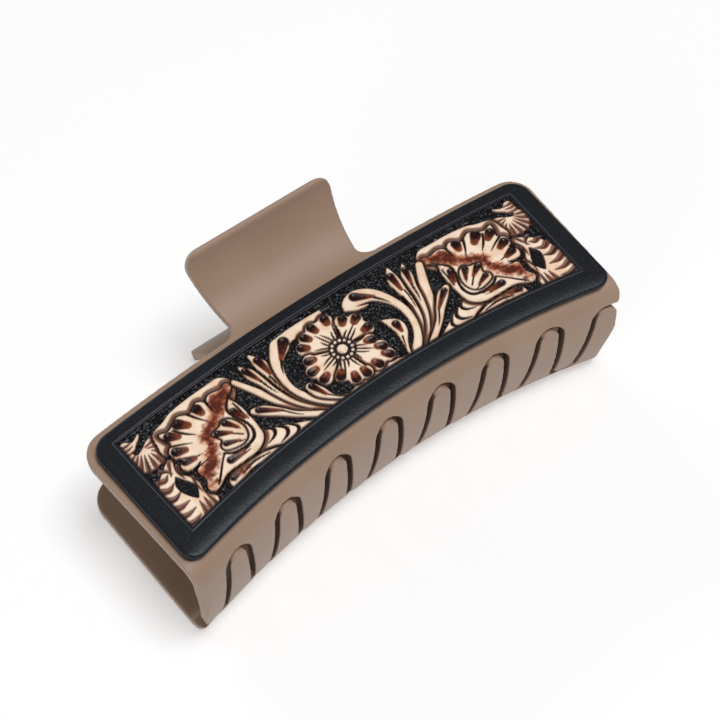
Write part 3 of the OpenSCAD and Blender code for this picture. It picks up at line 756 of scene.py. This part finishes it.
def rosette(t):
    """Five petals of pressed lobes, fine cuts towards the middle, and a beaded hub."""
    cx, cy = ROSETTE
    for first, last, lobes in PETALS:
        k, x, y = t.window(lobes + [(cx, cy)], margin=3)
        r, a = polar(x, y, ROSETTE)
        # angles are counted on from the far side of the petal
        middle = (first + last) / 2
        a = (np.degrees(a) - middle + 180) % 360 + middle - 180
        turns = sorted(((np.degrees(np.arctan2(ly - cy, lx - cx)) - first + 20) % 360 + first - 20,
                        span(lx - cx, ly - cy)) for lx, ly in lobes)
        angles = [first] + [q[0] for q in turns] + [last]
        reach = [turns[0][1] - 0.2] + [q[1] + 0.85 for q in turns] + [turns[-1][1] - 0.2]
        d = r - np.interp(a, angles, reach)
        for limit, sign in ((first, -1), (last, 1)):
            d = np.maximum(d, sign * r * np.sin(np.radians(np.clip(a - limit, -60, 60))) + 0.1)
        for lx, ly in lobes:
            d = np.minimum(d, np.hypot(x - lx, y - ly) - LOBE_RADIUS)
        t.form(k, d, sink=0.26, bevel=0.7, cut=0.15)
    for _, _, lobes in PETALS:
        for lx, ly in lobes:
            r = span(lx - cx, ly - cy)
            ux, uy = (lx - cx) / r, (ly - cy) / r
            t.thumbprint((lx + 0.42 * ux, ly + 0.42 * uy, lx - 0.6 * ux, ly - 0.6 * uy, 1.95),
                         tail=0.8, red=0.9)
    # cuts of three lengths, with three bends that grow from 3 mm out
    for i in range(ROSETTE_CUTS):
        a = 2 * np.pi * (i + 0.3) / ROSETTE_CUTS
        reach = 5.1 + 0.8 * ((i * 7) % 3 - 1)
        bend = 0.16 * ((i * 5) % 3 - 1)
        t.stroke([(cx + q * np.cos(a + bend * (q - 3) / 3), cy + q * np.sin(a + bend * (q - 3) / 3), w)
                  for q, w in ((HUB_RADIUS, 0.36), (0.5 * (HUB_RADIUS + reach), 0.38), (reach, 0.14))])
    k, x, y = t.window([(cx - 3, cy - 3), (cx + 3, cy + 3)])
    r, a = polar(x, y, ROSETTE)
    hub = eased(0.5 - (r - HUB_RADIUS - 0.12 * np.cos(ROSETTE_CUTS * a)) / 0.2)
    t.stain(k, HUB_DYE, hub)
    t.height[k] = t.height[k] * (1 - hub) - 0.3 * hub
    slot = (a / (2 * np.pi) * BEADS) % 1 - 0.5
    bead = np.hypot(r - BEAD_RING, slot * 2 * np.pi / BEADS * BEAD_RING)
    # the ring of beads, and the button in the middle
    for d, size, tall in ((bead, 0.3, 0.16), (r, 1.0, 0.2)):
        top = eased(0.5 - (d - size) / 0.16)
        worn = eased(2 * cloud(x, y, 0.3, 23) - 0.9)
        t.stain(k, mix(CREAM, TAN, 0.5 * worn), top)
        t.height[k] += tall * top * (1 - 0.6 * np.clip(d / size, 0, 1) ** 2)


# ---- leather cover
BORDER = screen_rgb(28, 29, 33)
SCRIBED = BORDER + 70  # the paler line scribed along the border's inner edge
BORDER_FRONT, BORDER_BACK, BORDER_END = 4.9, 2.9, 4.3
CORNER_BACK, CORNER_FRONT = 4.0, 3.0
LEATHER_FRONT = ROLL_R - (ROLL + GAP + THICK) * math.sin(WRAP)
FLAT_FRONT = ROLL_R - (ROLL + GAP + THICK) * WRAP  # the same edge before the sheet is bent
TOP = GAP + THICK
PANEL_FRONT, PANEL_BACK, PANEL_END = LEATHER_FRONT + BORDER_FRONT, BACK_R - BORDER_BACK, HALF - BORDER_END
LEAN = math.sqrt(1 + FLARE ** 2)
LONG, SHORT = 490, 130  # steps of the mesh along the panel and across it
SIDE_POINTS, CORNER_STEPS = 200, 16
EDGE = 0.55  # radius of the sheet's rounded upper edge
WAVE_HEIGHT, WAVE_SIZE = 0.05, 5.0


def arc_y(axis, radius, x):
    return axis + np.sqrt(radius ** 2 - x ** 2)


def meeting(axis, radius, end):
    """Where an arc meets the leaning end line."""
    x = end
    for _ in range(20):
        x = end + FLARE * float(arc_y(axis, radius, x))
    return x


def evenly(line, n):
    """The line's points, laid out again at n + 1 even steps along it."""
    run = np.concatenate([[0], np.cumsum(np.hypot(*np.diff(line, axis=0).T))])
    s = np.linspace(0, run[-1], n + 1)
    return np.stack([np.interp(s, run, line[:, 0]), np.interp(s, run, line[:, 1])], 1)


def sheet_sides(inset):
    """The outline's front, right, back and left side, moved inwards, each from mid corner to mid corner."""
    end, rb, rf = HALF - inset * LEAN, BACK_R - inset, FLAT_FRONT + inset
    cb, cf = max(CORNER_BACK - inset, 0.1), max(CORNER_FRONT - inset, 0.1)

    def centre(e, axis, radius):
        a, b, c = 1 + FLARE ** 2, FLARE * e - axis, e * e + axis ** 2 - radius ** 2
        y = (-b + math.sqrt(b * b - a * c)) / a
        return np.array([e + FLARE * y, y])

    def corner(middle, r, start, stop):
        t = np.linspace(math.atan2(*start[::-1]), math.atan2(*stop[::-1]), CORNER_STEPS + 1)
        return middle + r * np.stack([np.cos(t), np.sin(t)], 1)

    low, top = centre(end - cf * LEAN, FRONT_AXIS, rf + cf), centre(end - cb * LEAN, BACK_AXIS, rb - cb)
    out = np.array([1, -FLARE]) / LEAN
    low_corner = corner(low, cf, np.array([0, FRONT_AXIS]) - low, out)
    top_corner = corner(top, cb, out, top - np.array([0, BACK_AXIS]))
    x = np.linspace(0, low_corner[0, 0], SIDE_POINTS)[:-1]
    front = np.stack([x, arc_y(FRONT_AXIS, rf, x)], 1)
    x = np.linspace(top_corner[-1, 0], 0, SIDE_POINTS)[1:]
    rear = np.stack([x, arc_y(BACK_AXIS, rb, x)], 1)
    right = np.concatenate([front, low_corner, top_corner, rear])
    first = len(front) + CORNER_STEPS // 2
    second = first + CORNER_STEPS + 1
    flip = np.array([-1, 1])
    front = np.concatenate([right[first:0:-1] * flip, right[:first + 1]])
    rear = np.concatenate([right[second:] * flip, right[second:-1][::-1]])
    right = right[first:second + 1]
    return evenly(front, LONG), evenly(right, SHORT), evenly(rear, LONG), evenly(right * flip, SHORT)


# The rings of points round the panel, from its edge over the border, down the side and under the sheet.
NEAR = [(0.3, 0), (0.46, -0.02), (0.55, -0.06), (0.64, -0.02), (0.8, 0)]  # distance from the panel, height
SCRIBED_RING = 3
SHARES = [0.14, 0.3, 0.46, 0.62, 0.78, 0.9, 1.0]  # of the way from there to the rounded edge
EDGE_TURN = [22, 45, 68, 90]  # degrees round that edge
SIDE = [(0.0, 1.05), (0.07, 0.86), (0.0, 0.68), (0.0, 0.2), (0.12, GAP)]  # inset from the outline, height
UNDER = [1.5, 3.4]  # inset from the outline
ON_BORDER = len(NEAR) + len(SHARES)
RINGS = ON_BORDER + len(EDGE_TURN) + len(SIDE) + len(UNDER)
RING_STEP = 0.01  # between the rings of the first flat mesh, by which each is told again


def bent(x, y, h):
    """The flat sheet laid over the plate's rolled edge: h is the height over the plate."""
    r = np.hypot(x, y - FRONT_AXIS)
    past = np.maximum(ROLL_R - r, 0) / (ROLL + TOP)
    reach = np.where(past > 0, ROLL_R - (ROLL + h) * np.sin(past), r)
    z = np.where(past > 0, (ROLL + h) * np.cos(past) - ROLL, h)
    return np.stack([x / r * reach, FRONT_AXIS + (y - FRONT_AXIS) / r * reach, z], 1)


def ringed_grid(name):
    """A flat grid for the panel, from -1 to 1 each way, with the rings round it and a face that closes it."""
    bpy.ops.mesh.primitive_grid_add(x_subdivisions=LONG, y_subdivisions=SHORT, size=2)
    o = bpy.context.object
    o.name = name
    bpy.ops.object.mode_set(mode="EDIT")
    bpy.ops.mesh.select_all(action="SELECT")
    bpy.ops.mesh.region_to_loop()
    for k in range(RINGS):
        bpy.ops.mesh.extrude_region_move()
        grow = (1 + RING_STEP * (k + 1)) / (1 + RING_STEP * k)
        bpy.ops.transform.resize(value=(grow, grow, 1), center_override=(0, 0, 0))
    bpy.ops.mesh.edge_face_add()
    bpy.ops.object.mode_set(mode="OBJECT")
    return o


def lay_rings(u, v, ring, px, py):
    """Places and heights of the flat sheet's points: the panel's own, and each ring's round it."""
    h = np.full(len(u), float(TOP))
    x, y = px.copy(), py.copy()
    lu, lv = np.linspace(-1, 1, LONG + 1), np.linspace(-1, 1, SHORT + 1)

    def around(inset):
        front, right, rear, left = sheet_sides(inset)
        at = np.zeros((len(u), 2))
        for line, along, steps, here in ((right, v, lv, u > 1 - 1e-4), (left, v, lv, u < -1 + 1e-4),
                                         (front, u, lu, v < -1 + 1e-4), (rear, u, lu, v > 1 - 1e-4)):
            for axis in (0, 1):
                at[here, axis] = np.interp(along[here], steps, line[:, axis])
        return at

    rounded_edge = around(EDGE)
    gx, gy = rounded_edge[:, 0] - px, rounded_edge[:, 1] - py
    gap = np.maximum(np.hypot(gx, gy), 1e-6)
    rings = (ring == k for k in range(1, RINGS + 1))
    for off, dip in NEAR:
        here = next(rings)
        x[here], y[here] = (px + gx * off / gap)[here], (py + gy * off / gap)[here]
        h[here] = TOP + dip
    for share in SHARES:
        here = next(rings)
        s = NEAR[-1][0] / gap + (1 - NEAR[-1][0] / gap) * share
        x[here], y[here] = (px + gx * s)[here], (py + gy * s)[here]
    # the border is a little uneven
    wave = WAVE_HEIGHT * (cloud(x, y, WAVE_SIZE, 31) - 0.5)
    for turn in EDGE_TURN:
        here = next(rings)
        x[here], y[here] = around(EDGE * (1 - math.sin(math.radians(turn))))[here].T
        h[here] = TOP - EDGE * (1 - math.cos(math.radians(turn)))
    for inset, height in SIDE + [(inset, GAP) for inset in UNDER]:
        here = next(rings)
        x[here], y[here] = around(inset)[here].T
        h[here] = height
    border_top = (ring > 0) & (ring <= ON_BORDER)
    h[border_top] += wave[border_top]
    return x, y, h


def leather_cover():
    """The sheet of leather, carved and dyed while it is flat, and then bent over the jaw's rolled edge."""
    o = ringed_grid("tooled_leather_cover")
    u, v, _ = on_points(o, "co").T
    size = np.maximum(np.abs(u), np.abs(v))
    ring = np.maximum(np.rint((size - 1) / RING_STEP).astype(int), 0)
    inner = ring == 0
    u, v = np.where(inner, u, u / size), np.where(inner, v, v / size)

    # the panel: its front and back arcs, and straight ends between them
    low = meeting(FRONT_AXIS, PANEL_FRONT, PANEL_END) * u
    high = meeting(BACK_AXIS, PANEL_BACK, PANEL_END) * u
    low_y, high_y = arc_y(FRONT_AXIS, PANEL_FRONT, low), arc_y(BACK_AXIS, PANEL_BACK, high)
    t = (v + 1) / 2
    px, py = low + (high - low) * t, low_y + (high_y - low_y) * t
    x, y, h = lay_rings(u, v, ring, px, py)

    # what is carved and dyed, ending at the border's inner edge
    tools = Tooling(px[inner], py[inner])
    carve(tools)
    to_front, to_back = np.hypot(px, py - FRONT_AXIS) - PANEL_FRONT, PANEL_BACK - np.hypot(px, py - BACK_AXIS)
    to_end = (PANEL_END + FLARE * py - np.abs(px)) / LEAN
    rim = np.minimum(np.minimum(to_front, to_back), to_end)[inner]
    edge = eased(1.15 - rim / 0.3)
    h[inner] += tools.height * (1 - edge)
    dye = np.tile(BORDER, (len(u), 1))
    dye[inner] = mix(mix(tools.dye, CUT, 0.6 * eased(1.3 - rim / 0.5)), BORDER, edge)
    dye[ring == SCRIBED_RING] = SCRIBED
    gloss = np.full(len(u), BORDER_ROUGH)
    gloss[inner] = tools.rough * (1 - edge) + BORDER_ROUGH * edge
    border = np.ones(len(u))
    border[inner] = edge

    o.data.vertices.foreach_set("co", plate_to_object(bent(x, y, h)).ravel())
    o.data.update()
    a = o.data.color_attributes.new("dye", "FLOAT_COLOR", "POINT")
    a.data.foreach_set("color", np.column_stack([linear(dye), np.ones(len(u))]).astype(np.float32).ravel())
    paint(o, "gloss", gloss)
    paint(o, "border", border)
    mend(o, outwards=True)
    bpy.ops.object.shade_smooth_by_angle(angle=math.radians(60))
    leather.give(o)
    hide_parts("leather_cover")
    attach(o, "upper")


leather_cover()


# ---- jaws
# The slots between the teeth, in millimetres from the pin: their reach to each side of the clip's middle
# plane and along it, and the y before which the toothed wall lies.
SLOT_HEIGHT, SLOT_SPAN, WALL_BEHIND = 9.6, 48.2, -18
# The remesh: its grid, the rounds of smoothing that take off its steps, what it stands proud, and the share
# of its faces that is kept.
GRID, ROUNDS = ((0.17, 16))
PROUD, THINNED_TO = 0.04, 0.175


def copy_of(node, name):
    """A piece of its own with a CAD node's shape, its doubled points merged."""
    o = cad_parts[node].copy()
    o.data = o.data.copy()
    o.name = name
    for k in list(o.keys()):
        del o[k]
    o.parent = None
    o.matrix_world = Matrix.Identity(4)
    bpy.context.scene.collection.objects.link(o)
    mend(o, merge=True)
    return o


def painted_slot_shade(o):
    """Painted shade between the teeth, where the slots' narrow faces lie in shade: 1 on those narrow faces, 0
    on the rest of the jaw.
    """
    normals = turned(on_points(o, "normal"), -REST_TILT)
    x, y, z = turned(on_points(o, "co") / MM - np.array([0, REST_Y, REST_Z]), -REST_TILT).T
    # the toothed wall follows an arc about the front arc's axis, and the slots' faces stand across it
    out = np.stack([x, y + HINGE_Y - FRONT_AXIS], 1)
    out /= np.hypot(*out.T)[:, None]
    face_on = np.abs((normals[:, :2] * out).sum(1))
    slot_shade = eased((0.80 - face_on) / 0.25)
    slot_shade *= eased((SLOT_HEIGHT - np.abs(z)) / 0.8) * eased((SLOT_SPAN - np.abs(x)) / 0.5)
    paint(o, "slot_shade", slot_shade * (y < WALL_BEHIND))


def softened_jaw(node, name, body):
    """The moulded jaw with all its edges softened, as a mould leaves them."""
    o = copy_of(node, name)
    finish_with(o, "REMESH", mode="VOXEL", voxel_size=GRID * MM)
    finish_with(o, "SMOOTH", factor=0.5, iterations=ROUNDS)
    finish_with(o, "DISPLACE", strength=-PROUD * MM, mid_level=0)
    finish_with(o, "DECIMATE", decimate_type="COLLAPSE", ratio=THINNED_TO)
    painted_slot_shade(o)
    pick(o)
    bpy.ops.object.shade_smooth()
    plastic.give(o)
    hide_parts(node)
    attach(o, body)


softened_jaw("upper_jaw", "upper_jaw_moulding", "upper")
softened_jaw("lower_jaw", "lower_jaw_moulding", "lower")


# ---- pin and spring
# The hinge frame has its origin on the pin's axis, x along the pin and z square to the clip's middle plane.
HINGE = Matrix.Translation((0, REST_Y * MM, REST_Z * MM)) @ Matrix.Rotation(REST_TILT, 4, "X")
WIRE_R, COIL_R = 0.55 * MM, 2.9 * MM
TURNS, PITCH, LEG = 6, 1.3 * MM, 20 * MM
LEG_RISE = math.radians(21.548)  # slope of each leg to the clip's middle plane
CHAMFER, CUT_END = 0.15 * MM, 0.75  # the cut ends of the wire: how long they taper, and to what share
STEPS_A_TURN = 32
CREASE = math.radians(35)  # edges sharper than this stay crisp on wire and pin


def torsion_spring():
    """Round wire wound about the pin; its legs leave on a tangent, one under each jaw's tab."""
    sweep = 2 * math.pi * (TURNS + 0.5) - 2 * LEG_RISE
    half = sweep / (2 * math.pi) * PITCH / 2
    count = STEPS_A_TURN * (TURNS + 1)
    line = []
    for i in range(count + 1):
        a = math.pi / 2 + LEG_RISE + sweep * i / count
        at = Vector((half * (2 * i / count - 1), COIL_R * math.cos(a), COIL_R * math.sin(a)))
        line.append((at, 1.0))
    for side in (-1, 1):
        foot = line[0 if side < 0 else -1][0]
        along = Vector((0, math.cos(LEG_RISE), -side * math.sin(LEG_RISE)))
        leg = [(foot + along * reach, thick)
               for reach, thick in ((LEG * 0.5, 1.0), (LEG - CHAMFER, 1.0), (LEG, CUT_END))]
        line = leg[::-1] + line if side < 0 else line + leg
    wire = bpy.data.curves.new("spring wire", "CURVE")
    wire.dimensions = "3D"
    wire.bevel_depth, wire.bevel_resolution, wire.use_fill_caps = WIRE_R, 3, True
    run = wire.splines.new("POLY")
    run.points.add(len(line) - 1)
    for point, (at, thick) in zip(run.points, line):
        point.co = (*(HINGE @ at), 1)
        point.radius = thick
    pick(placed("torsion_spring_wire", wire))
    bpy.ops.object.convert(target="MESH")
    o = bpy.context.object
    mend(o, merge=True, outwards=True)
    bpy.ops.object.shade_smooth_by_angle(angle=CREASE)
    wire_steel.give(o)
    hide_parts("spring")
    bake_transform(o)


def riveted_pin():
    """The pin with the edges of its two hammered heads rounded over."""
    o = copy_of("hinge_pin", "riveted_hinge_pin")
    finish_with(o, "BEVEL", width=0.3 * MM, segments=3, limit_method="ANGLE", angle_limit=math.radians(50))
    pick(o)
    bpy.ops.object.shade_smooth_by_angle(angle=CREASE)
    wire_steel.give(o)
    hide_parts("hinge_pin")
    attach(o, "lower")


torsion_spring()
riveted_pin()


# ---- floor, light and camera
WHITE = (1, 1, 1, 1)
CLIP_MIDDLE = (0, 0, 0.02)


def pale_floor():
    """A floor that glows a little, so that it stays white round the clip's shadow."""
    bpy.ops.mesh.primitive_plane_add(size=6, location=(0, 0, 0))
    floor = bpy.context.object
    floor.name = "floor"
    f = Finish("pale floor")
    f.set(Base_Color=(0.64, 0.64, 0.64, 1), Emission_Color=WHITE, Emission_Strength=0.4)
    f.set(Roughness=0.9, Specular_IOR_Level=0.1)
    f.give(floor)


def studio_air(strength):
    world = bpy.data.worlds.new("studio")
    bpy.context.scene.world = world
    world.use_nodes = True
    background = world.node_tree.nodes["Background"]
    background.inputs["Color"].default_value = WHITE
    background.inputs["Strength"].default_value = strength


def softbox(name, place, size, power):
    """A soft lamp that faces the clip."""
    light = bpy.data.lights.new(name, "AREA")
    light.shape = "RECTANGLE"
    light.size, light.size_y = size
    light.energy = power
    o = placed(name, light)
    o.location = place
    o.rotation_euler = (Vector(CLIP_MIDDLE) - Vector(place)).to_track_quat("-Z", "Y").to_euler()


pale_floor()
studio_air(0.17)
# forward of the clip, so that the leather's rolled edge shines in a narrow line and its border stays dark
softbox("overhead softbox", (0.10, -0.24, 0.9), (0.36, 0.36), 6.0)
softbox("rear softbox", (-0.05, 0.85, 0.42), (0.6, 0.2), 1.8)
softbox("left softbox", (-0.75, -0.3, 0.35), (0.4, 0.3), 1.2)

# The camera, fitted to the photo at the corners of the leather and its panel.
LENS, SENSOR = 75.743, 36
CAMERA_RIGHT = (0.79002663, -0.61280586, -0.0180806)
CAMERA_UP = (0.51386263, 0.64580845, 0.56469164)
CAMERA_BACK = (-0.33436974, -0.45541238, 0.8251039)
CAMERA_PLACE = (-94.839 * MM, -138.726 * MM, 261.687 * MM)

view = bpy.data.cameras.new("camera")
view.sensor_width, view.lens, view.clip_start = SENSOR, LENS, 0.01
camera = placed("camera", view)
rows = zip(CAMERA_RIGHT, CAMERA_UP, CAMERA_BACK, CAMERA_PLACE)
camera.matrix_world = Matrix((*rows, (0, 0, 0, 1)))
bpy.context.scene.camera = camera
bpy.context.scene.view_settings.view_transform = "Standard"

bpy.context.view_layer.update()
